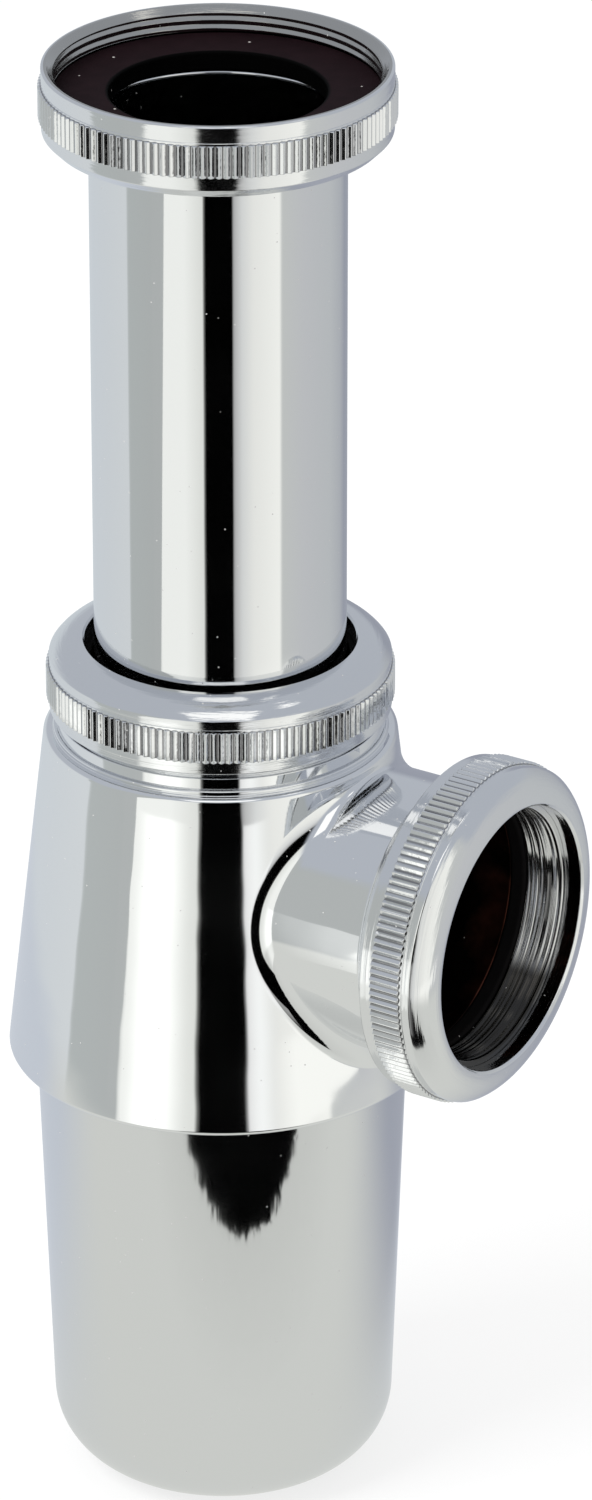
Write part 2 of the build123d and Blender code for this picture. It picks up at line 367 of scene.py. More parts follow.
# Inside of the casting: raw metal with its own reddish stains, on a near-black colour that is painted shade.
insideShadeLook = {"colour": (0.012, 0.007, 0.006), "rough": (0.30, 0.45), "waveScale": 900.0, "waveDepth": 0.00003,
              "patchScale": 300.0, "stain": (0.15, 0.052, 0.034), "stainScale": 70.0, "stainSpan": (0.56, 0.68)}
# The washer's hole carries painted shade, darker towards its wall.
washerLook = {"colour": (0.007, 0.0035, 0.0045), "tint": (0.014, 0.0065, 0.0085), "rough": 0.50, "shine": 0.02,
              "holeShade": (0.001, 0.001, 0.001), "holeShadeR": (13.95, 13.65), "speckScale": 700.0, "speckSize": 0.15,
              "speckShare": 0.05}
sealLook = {"colour": (0.004, 0.004, 0.0045), "tint": (0.007, 0.006, 0.006), "rough": 0.6, "shine": 0.03,
            "speckScale": 900.0, "speckSize": 0.12, "speckShare": 0.03}
chrome = chromeMaterial("chromePlate", chromeLook)
castChrome = chromeMaterial("castChrome", castLook)
litBodyChrome = chromeMaterial("litBodyChrome", bodyLitLook)
nutChrome = chromeMaterial("nutChrome", nutLook)
outletNutChrome = chromeMaterial("outletNutChrome", dict(nutLook, axis="outlet"))
mouthChrome = chromeMaterial("mouthChrome", mouthLook)
knurlChrome = chromeMaterial("knurlChrome", knurlLook)
outletKnurlChrome = chromeMaterial("outletKnurlChrome", dict(knurlLook, axis="outlet"))
turnedMetal = chromeMaterial("turnedMetal", turnedLook)
rawInsideShade = chromeMaterial("rawInsideShade", insideShadeLook)
washerRubber = rubberMaterial("washerRubber", washerLook)
sealRubber = rubberMaterial("sealRubber", sealLook)
print("materials made")


# Knurled band: along the band a low ring with rounded ends; around it, each tooth is a ridge with a narrow crest and
# straight flanks, so radius = crest - depth x groove share, where the share is 1 at the groove and 0 at the crest.
# Each tooth differs a little in its place, its depth and the tilt of its crest, as rolled by a worn wheel.
knurl = {"rise": 0.40, "depth": 0.395, "root": 0.35, "length": 4.15, "teeth": 139, "endRound": 0.14,
         "rootRound": 0.05, "endLength": 1.2, "seed": 7, "sway": 0.05, "tilt": 0.14, "uneven": 0.18,
         "across": [0.0, 0.04, 0.08, 0.165, 0.25, 0.335, 0.42, 0.46, 0.54, 0.58, 0.665, 0.75, 0.835, 0.92, 0.96],
         "share": [0.0, 0.02, 0.10, 0.325, 0.55, 0.775, 0.97, 1.0, 1.0, 0.97, 0.775, 0.55, 0.325, 0.10, 0.02]}


def knurlShell(outer, low, axis, material):
    crest = outer + knurl["rise"]
    inner = outer - knurl["root"]
    high = low + knurl["length"]
    outline = roundedOutline([
        (inner, low, knurl["rootRound"]), (crest, low, knurl["endRound"]), (crest, low + knurl["endLength"], 0),
        (crest, high - knurl["endLength"], 0), (crest, high, knurl["endRound"]), (inner, high, knurl["rootRound"]),
    ], steps=5)
    tooth = np.arange(knurl["teeth"])[:, None]
    chance = np.random.default_rng(knurl["seed"]).uniform(-1, 1, (3, knurl["teeth"], 1))
    across = np.array(knurl["across"])
    bell = np.sin(np.pi * across)
    angles = ((tooth + across + knurl["sway"] * chance[0] * bell) * fullTurn / knurl["teeth"]).reshape(-1)
    depth = np.array(knurl["share"]) * (1 - knurl["uneven"] * np.abs(chance[1]))
    tilt = knurl["tilt"] * chance[2] * bell * (across - 0.5)
    groove = np.clip(depth + tilt, 0, 1).reshape(1, -1)

    def shape(radius, along, angle):
        reach = np.clip((radius - inner) / (crest - inner), 0, 1)
        return radius - knurl["depth"] * groove * reach
    return turnedShell(outline, angles, axis, True, shape, material)


toolRound = {"edge": 0.02, "floor": 0.03}


# Fine groove that the tool left round a nut, as three corners of an outline.
def toolGroove(outer, start, depth, width):
    return [(outer, start, toolRound["edge"]), (outer - depth, start + width / 2, toolRound["floor"]),
            (outer, start + width, toolRound["edge"])]


# Slip nut: rear face, plain band, knurl, a fine tool groove, a lip domed from its bore to its outside, and a sharp
# bore. The dome is an arc that lies level at the bore, so it turns by twice the angle of its chord.
slipNut = {"female": 20.25, "outer": 21.75, "bore": 17.2, "lip": 2.5, "drop": 2.2, "edge": 0.5, "bevel": 0.3,
           "rearBand": 1.65, "grooveStep": 0.28, "grooveDepth": 0.07, "grooveWidth": 0.12, "domeGap": 0.02,
           "threadRound": 0.15, "rearRound": 0.2, "crownRound": 0.12, "boreRound": 0.15, "lipRound": 0.1,
           "seatRound": 0.3}


def slipNutShells(low, height, axis):
    outer, bore, female = slipNut["outer"], slipNut["bore"], slipNut["female"]
    top = low + height
    lipZ = top - slipNut["lip"]
    crownR = bore + slipNut["bevel"]
    chord = np.arctan2(slipNut["drop"], outer - crownR)
    reach = (outer - crownR) / np.sin(2 * chord) * np.tan(chord)
    domeR = (reach - slipNut["edge"] * np.tan(np.pi / 4 - chord) - slipNut["domeGap"]) / np.tan(chord)
    groove = low + slipNut["rearBand"] + knurl["length"] + slipNut["grooveStep"]
    outline = roundedOutline([
        (female, low, slipNut["threadRound"]), (outer, low, slipNut["rearRound"]),
        *toolGroove(outer, groove, slipNut["grooveDepth"], slipNut["grooveWidth"]),
        (outer, top - slipNut["drop"], slipNut["edge"]), (crownR + reach, top, domeR),
        (crownR, top, slipNut["crownRound"]), (bore, top - slipNut["bevel"], slipNut["boreRound"]),
        (bore, lipZ, slipNut["lipRound"]), (female, lipZ, slipNut["seatRound"]),
    ], steps=16)
    return [turnedShell(outline, segments["nut"], axis), knurlShell(outer, low + slipNut["rearBand"], axis, 1)]


neckNutLow, neckNutHigh = nodeBox("neck_nut")
nutHeight = neckNutHigh[2] - neckNutLow[2]
makePiece("neckNutSkin", slipNutShells(neckNutLow[2], nutHeight, "up"), [nutChrome, knurlChrome],
          ["neck_nut"], "neck_nut")
makePiece("outletNutSkin", slipNutShells(outletLow[0], nutHeight, "outlet"), [outletNutChrome, outletKnurlChrome],
          ["outlet_nut"], "outlet_nut")


# Inlet nut: chamfered rear edge, knurl, plain band, thin rim, and a mouth whose wall carries the thread, with
# radius = wall + depth x (triangle wave of (height / pitch - angle / full turn) - half), faded in at both ends. Below
# the thread the chamber is wider, for the washer and the tube's flange. Its outside and its inside are two shells.
inletNut = {"bore": 16.3, "outer": 21.75, "chamfer": 1.2, "lip": 2.0, "chamber": 20.75, "chamberTop": 6.2,
            "thread": 20.25, "mouth": 21.05, "mouthDrop": 0.8, "pitch": 1.1, "threadDepth": 0.26, "threadRows": 40,
            "threadFade": 0.06, "threadNear": 0.001, "rearBand": 1.65, "grooveStep": 0.25, "grooveDepth": 0.06,
            "grooveWidth": 0.12, "boreRound": 0.3, "chamferRound": 0.35, "rimRound": 0.25, "innerRound": 0.1,
            "threadRound": 0.05, "chamberRound": 0.2}


def inletNutShells(low, height):
    outer, bore, thread, chamber = inletNut["outer"], inletNut["bore"], inletNut["thread"], inletNut["chamber"]
    top = low + height
    lipZ = low + inletNut["lip"]
    threadTop = top - inletNut["mouthDrop"]
    threadLow = low + inletNut["chamberTop"]
    rows = np.linspace(threadTop, threadLow, inletNut["threadRows"])[1:-1]
    knurlLow = low + inletNut["chamfer"] + inletNut["rearBand"]
    groove = knurlLow + knurl["length"] + inletNut["grooveStep"]
    boreSeam = (bore, low + inletNut["lip"] / 2, 0)
    rimSeam = ((outer + inletNut["mouth"]) / 2, top, 0)
    outside = roundedOutline([
        boreSeam, (bore, low, inletNut["boreRound"]), (outer - inletNut["chamfer"], low, inletNut["chamferRound"]),
        (outer, low + inletNut["chamfer"], inletNut["chamferRound"]),
        *toolGroove(outer, groove, inletNut["grooveDepth"], inletNut["grooveWidth"]),
        (outer, top, inletNut["rimRound"]), rimSeam,
    ], closed=False)
    inside = roundedOutline([
        rimSeam, (inletNut["mouth"], top, inletNut["innerRound"]), (thread, threadTop, inletNut["innerRound"]),
        *[(thread, along, 0) for along in rows], (thread, threadLow, inletNut["threadRound"]),
        (chamber, threadLow, inletNut["innerRound"]), (chamber, lipZ, inletNut["chamberRound"]),
        (bore, lipZ, inletNut["chamberRound"]), boreSeam,
    ], closed=False)

    def shape(radius, along, angle):
        rise = (along - threadLow) / (threadTop - threadLow)
        fade = np.clip(rise / inletNut["threadFade"], 0, 1) * np.clip((1 - rise) / inletNut["threadFade"], 0, 1)
        onThread = np.abs(radius - thread) < inletNut["threadNear"]
        turnShare = (along / inletNut["pitch"] - angle / fullTurn) % 1
        return radius + np.where(onThread, fade * inletNut["threadDepth"] * (np.abs(2 * turnShare - 1) - 0.5), 0)
    return [turnedShell(outside, segments["nut"], "up", False),
            turnedShell(inside, segments["nut"], "up", False, shape, 2), knurlShell(outer, knurlLow, "up", 1)]


inletLow, inletHigh = nodeBox("inlet_nut")
makePiece("inletNutSkin", inletNutShells(inletLow[2], inletHigh[2] - inletLow[2]),
          [nutChrome, knurlChrome, mouthChrome], ["inlet_nut"], "inlet_nut")


# Tube with its flange, the flat washer on it, and the plain rings and seals: outlines of their boxes, softly rounded.
tube = {"outer": 16.0, "bore": 15.0, "flange": 18.9, "flangeT": 1.5, "endRound": 0.25, "neckRound": 0.4,
        "flangeRound": 0.3, "topRound": 0.1, "mouthRound": 1.3}
tubeLow, tubeHigh = nodeBox("inlet_tube")
flangeZ = tubeHigh[2] - tube["flangeT"]
tubeOutline = roundedOutline([
    (tube["bore"], tubeLow[2], tube["endRound"]), (tube["outer"], tubeLow[2], tube["endRound"]),
    (tube["outer"], flangeZ, tube["neckRound"]), (tube["flange"], flangeZ, tube["flangeRound"]),
    (tube["flange"], tubeHigh[2], tube["topRound"]), (tube["bore"], tubeHigh[2], tube["mouthRound"]),
])
makePiece("inletTubeSkin", [turnedShell(tubeOutline, segments["tube"])], [chrome], ["inlet_tube"], "tube")


def ringCorners(item, low, high):
    bore, outer, fillet = item["bore"], item["outer"], item["fillet"]
    return [(bore, low, fillet), (outer, low, fillet), (outer, high, fillet), (bore, high, fillet)]


# Plain ring that fills its node's box along its axis, between a hole and an outer radius.
def ringShell(node, item, axis):
    low, high = nodeBox(node)
    way = 2 if axis == "up" else 0
    return turnedShell(roundedOutline(ringCorners(item, low[way], high[way])), segments["ring"], axis)


washer = {"bore": 13.45, "outer": 20.45, "fillet": 0.35}
makePiece("washerSkin", [ringShell("inlet_washer", washer, "up")], [washerRubber],
          ["inlet_washer"], "tube")

# Outlet's slip ring: its bore has turned grooves of uneven width and slope, each widening towards the front and then
# stepping back to the bore.
slipRing = {"bore": 16.4, "outer": 18.7, "fillet": 0.25, "grooves": 20, "width": (0.6, 1.4), "slope": (0.22, 0.72),
            "step": 0.04, "margin": 0.35, "grooveRound": 0.01, "seed": 3}


def slipRingOutline(low, high):
    bore, fine = slipRing["bore"], slipRing["grooveRound"]
    chance = np.random.default_rng(slipRing["seed"])
    share = np.cumsum(chance.uniform(*slipRing["width"], slipRing["grooves"]))
    slopes = chance.uniform(*slipRing["slope"], slipRing["grooves"])
    length = high - low - 2 * slipRing["margin"]
    starts = low + slipRing["margin"] + np.concatenate([[0], share / share[-1]]) * length
    wall = [(bore, starts[-1], fine)]
    for start, end, slope in zip(starts[-2::-1], starts[:0:-1] - slipRing["step"], slopes):
        wall += [(bore + slope * (end - start), end, fine), (bore, start, fine)]
    return roundedOutline(ringCorners(slipRing, low, high) + wall, steps=5)


ringLow, ringHigh = nodeBox("outlet_slip_ring")
ringOutline = slipRingOutline(ringLow[0], ringHigh[0])
makePiece("outletRingSkin", [turnedShell(ringOutline, segments["tube"], "outlet")], [turnedMetal],
          ["outlet_slip_ring"], "outlet_slip_ring")

slipSeal = {"bore": 16.1, "outer": 18.7, "fillet": 0.5}
cupSeal = {"bore": 22.7, "outer": 24.4, "fillet": 0.3}
for name, node, body, axis, item in (
    ("neckRingSkin", "neck_slip_ring", "neck_slip_ring", "up", slipRing),
    ("neckSealSkin", "neck_seal", "body", "up", slipSeal),
    ("outletSealSkin", "outlet_seal", "body", "outlet", slipSeal),
    ("cupSealSkin", "cup_seal", "cup_seal", "up", cupSeal),
):
    makePiece(name, [ringShell(node, item, axis)], [sealRubber], [node], body)


# Cup: flat base, a broad rounded corner, a drafted wall up to the skirt, and a short threaded rim inside it.
cup = {"radius": 24.0, "draft": 2.0, "corner": 9.5, "wall": 1.5, "floor": 2.0, "threadR": 24.6, "threadLength": 5.8,
       "rimRound": 0.2}
rimZ = nodeBox("cup")[1][2]
skirtZ = nodeBox("trap_body")[0][2]
cupLean = np.tan(np.radians(cup["draft"]))
footR = cup["radius"] - skirtZ * cupLean
innerR = cup["radius"] - cup["wall"]
innerFootR = innerR - (skirtZ - cup["floor"]) * cupLean
threadZ = rimZ - cup["threadLength"]
cupOutline = roundedOutline([
    (0, 0, 0), (footR, 0, cup["corner"]), (cup["radius"], skirtZ, 0), (cup["radius"], threadZ, cup["rimRound"]),
    (cup["threadR"], threadZ, cup["rimRound"]), (cup["threadR"], rimZ, cup["rimRound"]),
    (innerR, rimZ, cup["rimRound"]), (innerR, skirtZ, 0),
    (innerFootR, cup["floor"], cup["corner"] - cup["wall"]), (0, cup["floor"], 0),
], closed=False, steps=24)
makePiece("cupSkin", [turnedShell(cupOutline, segments["tube"], "up", False)], [castChrome], ["cup"], "cup")


# Trap body. The cone's radius falls evenly with height. Where the branch leaves it, a ball of the blend's radius
# rolls along both: its centre lies on the branch's cylinder and on the cone, each moved out by the ball's radius,
# and the blend is the arc about that centre from its foot on the cone to its foot on the branch.
trap = {"skirtR": 27.59, "shoulderR": 22.5, "shoulderZ": 104.8, "socketR": 24.7, "lipChamfer": 0.8, "ledgeZ": 68.5,
        "cavityR": 21.3, "ceilingZ": 99.5, "collarR": 20.95, "threadR": 20.15, "counterR": 18.9, "boreR": 16.3,
        "stopR": 13.5, "branchR": 17.5, "blend": 4.2, "flare": 1.7, "flareBack": 0.9, "flareLead": 0.7, "runOut": 0.9,
        "mouth": 4.3, "floorBack": 0.7, "stopBack": 8.7, "stopLength": 1.0, "beadR": 21.35, "beadHigh": 0.6,
        "grooveR": 20.7, "grooveHigh": 0.75, "ridgeR": 20.65, "ridgeFoot": (0.22, 0.68), "ridgeTop": (0.38, 0.52),
        "roomAbove": 0.1, "roomAhead": 0.2, "roomShare": 1.12, "leastRoom": 0.1, "roomPower": 4.0, "patchHalf": 60,
        "patchRows": 40, "patchSteps": 20, "blendSteps": 18, "bandLow": 61.4, "bandHigh": 104.0, "cavityLow": 69.0,
        "cavityHigh": 99.42}
trapRound = {"shoulder": 0.8, "lip": 0.6, "flare": 0.6, "runOut": 0.3, "bead": 0.25, "edge": 0.2, "step": 0.15,
             "inner": 0.1, "thread": 0.08, "ridge": 0.07, "fine": 0.05}
coneTaper = (trap["skirtR"] - trap["shoulderR"]) / (trap["shoulderZ"] - skirtZ)
coneLean = np.arctan(coneTaper)


def coneRadius(height):
    return trap["skirtR"] - coneTaper * (height - skirtZ)


def cavityRadius(height):
    return np.full_like(height, trap["cavityR"])


# Corners of a threaded mouth from where its nut starts: over the rim to the middle of the counterbore's floor, and
# from there, raw, to the bore.
def mouthCorners(nutStart):
    mouth = nutStart + trap["mouth"]
    floor = nutStart - trap["floorBack"]
    middle = ((trap["counterR"] + trap["boreR"]) / 2, floor, 0)
    rim = [(trap["threadR"], mouth, trapRound["edge"]), (trap["counterR"], mouth, trapRound["edge"]),
           (trap["counterR"], floor, trapRound["inner"]), middle]
    return rim, [middle, (trap["boreR"], floor, trapRound["edge"])]


# Points on a surface of revolution from angle and height, with the normal leaning up by the surface's lean.
def onTurned(angle, height, radius, lean, inward=False):
    spoke = np.stack([np.cos(angle), np.sin(angle), np.zeros_like(angle)], -1)
    place = radius[..., None] * spoke + height[..., None] * upWay
    look = np.cos(lean) * spoke + np.sin(lean) * upWay
    return place, -look if inward else look


# Border of the opening's patch, walked round in equal steps: along the top, down one side, along the bottom, up the
# other, as angles and heights.
def patchBorder(low, high):
    across = np.linspace(-1, 1, 2 * trap["patchHalf"] + 1)
    up = np.linspace(-1, 1, trap["patchRows"] + 1)
    angle = np.concatenate([across[:-1], np.ones(len(up) - 1), across[::-1][:-1], -np.ones(len(up) - 1)])
    height = np.concatenate([np.ones(len(across) - 1), up[::-1][:-1], -np.ones(len(across) - 1), up[:-1]])
    return angle * np.radians(trap["patchHalf"]), (low + high) / 2 + height * (high - low) / 2


# Patch between an opening's edge and its border: the angle and the height run straight from one to the other. A
# second shell closes the rest of the turn.
def openingPatch(edge, low, high, radiusOf, lean, inward, material):
    edgeAngle = np.arctan2(edge[:, 1], edge[:, 0])
    edgeHeight = edge[:, 2]
    borderAngle, borderHeight = patchBorder(low, high)
    share = np.linspace(0, 1, trap["patchSteps"] + 1)[:, None]
    angle = edgeAngle + (borderAngle - edgeAngle) * share
    height = edgeHeight + (borderHeight - edgeHeight) * share
    place, look = onTurned(angle, height, radiusOf(height), lean, inward)
    back = np.radians(np.arange(trap["patchHalf"], 361 - trap["patchHalf"]))
    rows = np.linspace(low, high, trap["patchRows"] + 1)
    backAngle, backHeight = np.broadcast_arrays(back[None, :], rows[:, None])
    backPlace, backLook = onTurned(backAngle, backHeight, radiusOf(backHeight), lean, inward)
    return [gridShell(place, look, False, True, material), gridShell(backPlace, backLook, False, False, material)]


def branchShells():
    borderAngle, borderHeight = patchBorder(trap["bandLow"], trap["bandHigh"])
    about = np.arctan2(borderAngle * coneRadius(outletZ), borderHeight - outletZ)

    # ball's radius: the full blend, less where the shoulder above or the flare in front leaves less room
    branchR = trap["branchR"]
    nutX = outletLow[0]
    flareX = nutX - trap["flareBack"] - trap["flare"]
    roomAbove = trap["bandHigh"] - trap["roomAbove"] - outletZ - branchR * np.cos(about)
    seamX = np.sqrt(coneRadius(outletZ + branchR * np.cos(about)) ** 2 - (branchR * np.sin(about)) ** 2)
    roomAhead = np.maximum((flareX - trap["roomAhead"] - seamX) / trap["roomShare"], trap["leastRoom"])
    power = trap["roomPower"]
    ball = (trap["blend"] ** -power + roomAbove ** -power + roomAhead ** -power) ** (-1 / power)
    side = (branchR + ball) * np.sin(about)
    high = outletZ + (branchR + ball) * np.cos(about)
    reach = np.sqrt((coneRadius(high) + ball / np.cos(coneLean)) ** 2 - side ** 2)
    centre = np.stack([reach, side, high], -1)
    azimuth = np.arctan2(side, reach)
    footLook = np.stack([np.cos(coneLean) * np.cos(azimuth), np.cos(coneLean) * np.sin(azimuth),
                         np.full_like(azimuth, np.sin(coneLean))], -1)
    footCone = centre - ball[:, None] * footLook
    branchLook = np.stack([np.zeros_like(about), np.sin(about), np.cos(about)], -1)
    bend = np.arccos(np.clip((footLook * branchLook).sum(-1), -1, 1))[None, :, None]
    share = np.linspace(0, 1, trap["blendSteps"])[:, None, None]
    blendLook = (np.sin((1 - share) * bend) * footLook + np.sin(share * bend) * branchLook) / np.sin(bend)
    blendPlace = centre - ball[None, :, None] * blendLook

    # branch outside, thread, mouth and counterbore, then the raw socket and stop, along the outlet's axis
    stopR = trap["stopR"]
    stopX = nutX - trap["stopBack"]
    rim, raw = mouthCorners(nutX)
    outside = roundedOutline([
        (branchR, flareX - trap["flareLead"], 0), (branchR, flareX, trapRound["flare"]),
        (trap["threadR"], nutX - trap["flareBack"], trapRound["runOut"]), *rim,
    ], closed=False)
    inside = roundedOutline([
        *raw, (trap["boreR"], stopX, trapRound["step"]), (stopR, stopX, trapRound["bead"]),
        (stopR, stopX - trap["stopLength"], 0),
    ], closed=False)

    def branchGrid(outline):
        points, normals = outline
        place = points[:, 1, None, None] * outletWay + points[:, :1, None] * branchLook + outletCentre
        return place, normals[:, :1, None] * branchLook + normals[:, 1:, None] * outletWay
    outsidePlace, outsideLook = branchGrid(outside)
    insidePlace, insideLooks = branchGrid(inside)
    innerX = np.sqrt(trap["cavityR"] ** 2 - (stopR * np.sin(about)) ** 2)
    lastPlace = innerX[:, None] * outletWay + stopR * branchLook + outletCentre
    outer = gridShell(np.concatenate([blendPlace, outsidePlace]), np.concatenate([blendLook, outsideLook]),
                      False, True)
    inner = gridShell(np.concatenate([insidePlace, lastPlace[None]]),
                      np.concatenate([insideLooks, -branchLook[None]]), False, True, 1)

    # cone and cavity with their openings
    cone = openingPatch(footCone, trap["bandLow"], trap["bandHigh"], coneRadius, coneLean, False, 0)
    cavity = openingPatch(lastPlace, trap["cavityLow"], trap["cavityHigh"], cavityRadius, 0.0, True, 1)
    return [outer, inner, *cone, *cavity]


# Turned strips above and below the band that holds the opening: shoulder, bead, groove, collar, start of the thread,
# mouth and counterbore; the raw bore and ceiling; and the ledge, socket and lip of the skirt.
def stripShells():
    threadR, ridgeR = trap["threadR"], trap["ridgeR"]
    shoulderZ, bandLow, bandHigh = trap["shoulderZ"], trap["bandLow"], trap["bandHigh"]
    rim, raw = mouthCorners(neckNutLow[2])
    startZ = neckNutLow[2] - trap["runOut"]
    beadZ = shoulderZ + trap["beadHigh"]
    grooveZ = shoulderZ + trap["grooveHigh"]
    upper = roundedOutline([
        (coneRadius(bandHigh), bandHigh, 0), (trap["shoulderR"], shoulderZ, trapRound["shoulder"]),
        (trap["beadR"], shoulderZ, trapRound["inner"]), (trap["beadR"], beadZ, trapRound["bead"]),
        (trap["grooveR"], beadZ, trapRound["fine"]), (trap["grooveR"], grooveZ, trapRound["fine"]),
        (trap["collarR"], grooveZ, trapRound["thread"]), (trap["collarR"], startZ, trapRound["step"]),
        (threadR, startZ, trapRound["thread"]), (threadR, startZ + trap["ridgeFoot"][0], trapRound["fine"]),
        (ridgeR, startZ + trap["ridgeTop"][0], trapRound["ridge"]),
        (ridgeR, startZ + trap["ridgeTop"][1], trapRound["ridge"]),
        (threadR, startZ + trap["ridgeFoot"][1], trapRound["fine"]), *rim,
    ], closed=False)
    ceiling = roundedOutline([
        *raw, (trap["boreR"], trap["ceilingZ"], trapRound["edge"]),
        (trap["cavityR"], trap["ceilingZ"], trapRound["fine"]), (trap["cavityR"], trap["cavityHigh"], 0),
    ], closed=False)
    lower = roundedOutline([
        (trap["cavityR"], trap["cavityLow"], 0), (trap["cavityR"], trap["ledgeZ"], trapRound["step"]),
        (trap["socketR"], trap["ledgeZ"], trapRound["inner"]),
        (trap["socketR"], skirtZ + trap["lipChamfer"], trapRound["inner"]),
        (trap["socketR"] + trap["lipChamfer"], skirtZ, trapRound["inner"]),
        (trap["skirtR"], skirtZ, trapRound["lip"]), (coneRadius(bandLow), bandLow, 0),
    ], closed=False)
    return [turnedShell(outline, segments["body"], "up", False, None, material)
            for outline, material in ((upper, 0), (ceiling, 1), (lower, 0))]


makePiece("trapBodySkin", branchShells() + stripShells(), [litBodyChrome, rawInsideShade], ["trap_body"], "body")
print("pieces made")


# Studio. A round tent stands about the trap and is seen only in reflections. Its colour follows the angle from the
# camera's side, in degrees to the right: a dark gap faces the camera, white panels stand at both sides of it, then
# greys. Near the floor the right panel reaches further, and the left panel's far edge is trimmed at a slant. High up
# the tent fades to the sky. The floor's reflection is pale with a dark tongue running towards the camera.
studio = {"cameraTurn": 32.8, "sky": (0.50, 0.53, 0.58),
          "ring": [(0, (0, 0, 0)), (11.7, (0, 0, 0)), (12.9, (0.52, 0.52, 0.51)), (20, (0.78, 0.79, 0.77)),
                   (30, (0.94, 0.94, 0.89)), (54, (1.05, 1.05, 0.99)), (56.5, (0.63, 0.645, 0.625)),
                   (80, (0.60, 0.61, 0.62)), (115, (0.56, 0.58, 0.59)), (136, (0.47, 0.49, 0.52)),
                   (148, (0.35, 0.37, 0.43)), (172, (0.35, 0.37, 0.43)), (186, (0.61, 0.66, 0.70)),
                   (225, (0.68, 0.72, 0.75)), (273, (0.73, 0.76, 0.77)), (274.5, (0.50, 0.53, 0.52)),
                   (305.5, (0.49, 0.51, 0.50)), (307, (1.03, 1.04, 0.99)), (330, (1.03, 1.04, 0.99)),
                   (346.2, (0.85, 0.86, 0.81)), (347.6, (0, 0, 0))]}
tentLook = {"radius": 230.0, "top": 330.0, "steps": 96, "fade": (125.0, 185.0), "frontRise": 110.0,
            "frontSpan": (60.0, 120.0), "trimFrom": 300.0, "trimAt": 305.0, "trimSlant": 0.075,
            "trimColour": (0.50, 0.52, 0.51), "lowPanel": (1.10, 1.10, 1.04), "lowRise": (26.0, 38.0), "lowTo": 74.0,
            "lowSpan": (21.0, 13.0)}
floorLook = {"half": 6.0, "gap": 0.0002, "pale": (0.72, 0.73, 0.69), "far": (0.62, 0.66, 0.72),
             "dim": (0.40, 0.42, 0.48), "backSpan": (30.0, -60.0), "asideSpan": (15.0, 60.0),
             "blend": (190.0, 228.0), "start": 97.0, "slant": -0.33, "bow": 0.0026, "left": 50.0, "right": 85.0,
             "rightAhead": 90.0, "narrow": 0.25, "ragged": 14.0, "raggedScale": 220.0, "raggedDetail": 5.0,
             "edgeSpan": (-1.0, 2.0), "sideSpan": (-1.0, 1.0), "marginWidth": 45.0, "marginDim": 0.09,
             "lit": (0.9, 0.9, 0.9), "shadowShare": 0.30}
black, white = (0, 0, 0), (1, 1, 1)
turnAngle = np.radians(studio["cameraTurn"])
frontWay = np.array([np.sin(turnAngle), -np.cos(turnAngle), 0.0])
rightWay = np.array([np.cos(turnAngle), np.sin(turnAngle), 0.0])


# Place, distance in front of the axis and to its right, and angle from the front as a share of a full turn.
def studioPlace(add):
    place = add("NewGeometry").outputs["Position"]
    ahead = dotProduct(add, place, frontWay)
    right = dotProduct(add, place, rightWay)
    share = maths(add, "DIVIDE", maths(add, "ARCTAN2", right, ahead), fullTurn)
    return place, ahead, right, maths(add, "FLOORED_MODULO", share, 1.0)


def studioRing(add, share):
    ramp = add("ValToRGB", {"Fac": share})
    elements = ramp.color_ramp.elements
    elements.remove(elements[1])
    for index, (degrees, colour) in enumerate(studio["ring"]):
        element = elements[0] if index == 0 else elements.new(degrees / 360)
        element.position = degrees / 360
        element.color = (*colour, 1)
    return ramp.outputs[0]


# Eased share as a length goes over a span given in millimetres.
def overSpan(add, value, span):
    return ramped(add, value, span[0] * mm, span[1] * mm, True)


def tentMaterial():
    material, add = newMaterial("tent")
    place, ahead, _, share = studioPlace(add)
    height = add("SeparateXYZ", {"Vector": place}).outputs["Z"]
    frontFrom, frontTo = tentLook["frontSpan"]
    lifted = ramped(add, ahead, frontFrom * mm, frontTo * mm, True, 0.0, tentLook["frontRise"] * mm)
    fade = overSpan(add, maths(add, "SUBTRACT", height, lifted), tentLook["fade"])
    after = ramped(add, share, tentLook["lowRise"][0] / 360, tentLook["lowRise"][1] / 360)
    before = maths(add, "LESS_THAN", share, tentLook["lowTo"] / 360)
    low = maths(add, "MULTIPLY", overSpan(add, height, tentLook["lowSpan"]), maths(add, "MULTIPLY", after, before))
    ring = mixed(add, low, studioRing(add, share), tentLook["lowPanel"])
    trimEdge = maths(add, "MULTIPLY_ADD", height, tentLook["trimSlant"] / 360 / mm, tentLook["trimAt"] / 360)
    beforeTrim = maths(add, "LESS_THAN", share, trimEdge)
    afterTrim = maths(add, "GREATER_THAN", share, tentLook["trimFrom"] / 360)
    ring = mixed(add, maths(add, "MULTIPLY", beforeTrim, afterTrim), ring, tentLook["trimColour"])
    add("OutputMaterial", {"Surface": glowing(add, mixed(add, fade, ring, studio["sky"]))})
    return material


